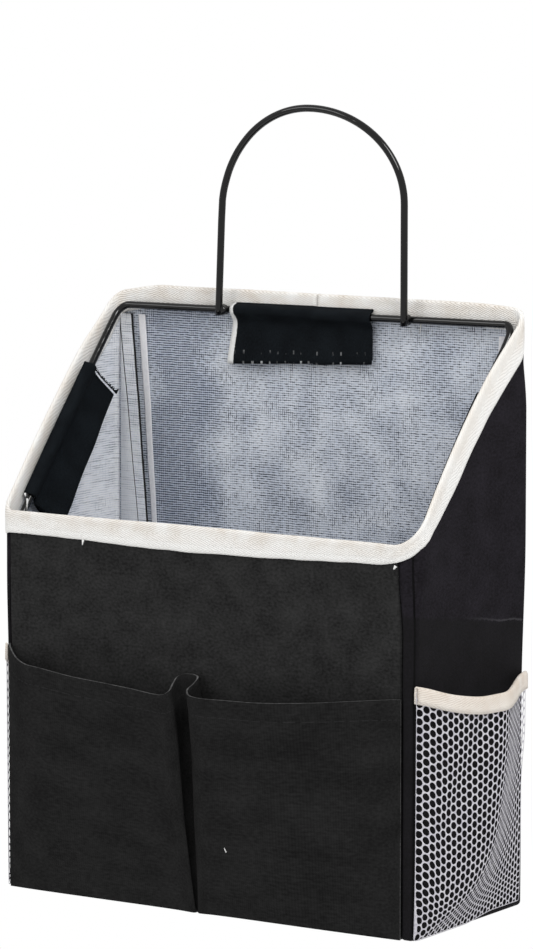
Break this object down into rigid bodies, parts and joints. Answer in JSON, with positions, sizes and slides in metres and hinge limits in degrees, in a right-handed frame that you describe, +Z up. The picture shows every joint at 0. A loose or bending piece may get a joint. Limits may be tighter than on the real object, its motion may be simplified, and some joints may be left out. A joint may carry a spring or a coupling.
{
  "type": "wall hanging organizer",
  "caption": "Canvas storage bag with a slanted rim, front pocket, side net pockets and a wire arch, hung from a wall hook.",
  "frame": {"origin": "underside of the hanger arch at its top, where a wall hook bears", "axes": "+Z up, +Y towards the wall, -Y to the front, +X to the right side seen from the front"},
  "size_m": [0.2462, 0.1026, 0.3431],
  "materials": {
    "canvas": "matte black woven canvas, coated pale grey inside",
    "binding_tape": "off-white herringbone twill tape",
    "net": "white knitted net",
    "coated_wire": "gloss black coated steel wire",
    "hook_and_loop": "matte black hook-and-loop tape"
  },
  "bodies": {
    "bag": {"back_panel": "canvas", "front_panel": "canvas", "side_panel_left": "canvas", "side_panel_right": "canvas", "bottom_panel": "canvas", "rim_binding": "binding_tape", "front_pocket": "canvas", "mesh_pocket_left": "net", "mesh_pocket_right": "net", "pocket_binding_left": "binding_tape", "pocket_binding_right": "binding_tape", "rim_wire": "coated_wire", "hanger_arch": "coated_wire", "hook_patch_back": "hook_and_loop", "hook_patch_left": "hook_and_loop", "hook_patch_right": "hook_and_loop", "hook_patch_front": "hook_and_loop"},
    "back_flap": {"flap_back": "hook_and_loop"},
    "left_flap": {"flap_left": "hook_and_loop"},
    "right_flap": {"flap_right": "hook_and_loop"},
    "front_flap": {"flap_front": "hook_and_loop"}
  },
  "joints": [
    {"name": "back_flap_hinge", "type": "hinge", "parent": "bag", "child": "back_flap", "pos_m": [-0.0055, 0.00505, -0.08375], "axis": [-1, 0, 0], "range_deg": [0, 115]},
    {"name": "front_flap_hinge", "type": "hinge", "parent": "bag", "child": "front_flap", "pos_m": [0, -0.07955, -0.17575], "axis": [1, 0, 0], "range_deg": [0, 115]},
    {"name": "right_flap_hinge", "type": "hinge", "parent": "bag", "child": "right_flap", "pos_m": [0.1023, -0.04689, -0.13855], "axis": [0, 0.6658, 0.7461], "range_deg": [0, 115]},
    {"name": "left_flap_hinge", "type": "hinge", "parent": "bag", "child": "left_flap", "pos_m": [-0.1023, -0.04689, -0.13855], "axis": [0, -0.6658, -0.7461], "range_deg": [0, 115]}
  ]
}
